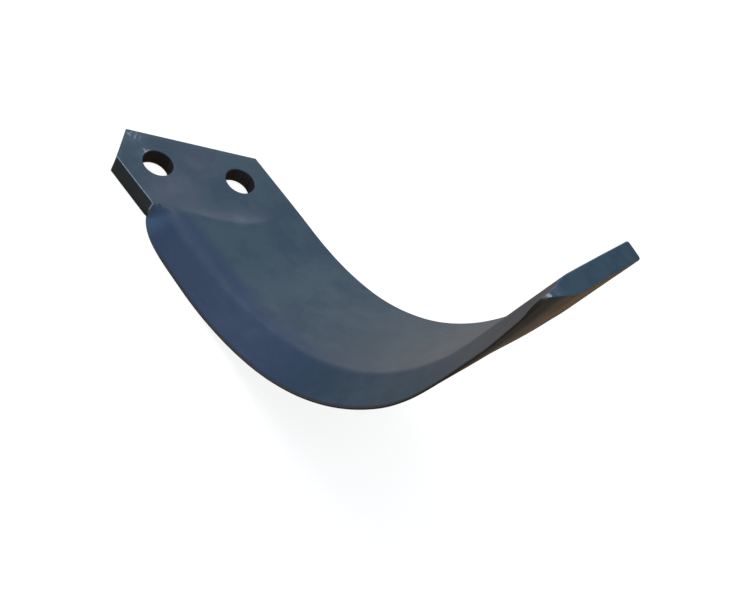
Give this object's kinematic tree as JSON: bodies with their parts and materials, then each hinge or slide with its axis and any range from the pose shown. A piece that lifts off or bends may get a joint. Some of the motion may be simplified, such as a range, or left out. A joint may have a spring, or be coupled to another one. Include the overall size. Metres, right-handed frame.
{
  "type": "stone burier blade",
  "caption": "Curved soil-working blade with a bevelled cutting edge and a slanted shank that bolts to the rotor of a stone burier.",
  "frame": {"origin": "midway between the two bolt holes, on the flat outer face of the shank that lies against the rotor flange", "axes": "+X along the bar from the shank towards the bend, +Y towards the back edge, +Z through the thickness towards the inner, bevelled face and the wing"},
  "size_m": [0.2332, 0.0989, 0.1729],
  "materials": {
    "paint": "satin dark slate-blue paint over forged steel"
  },
  "bodies": {
    "root": {"blade": "paint"}
  },
  "joints": []
}
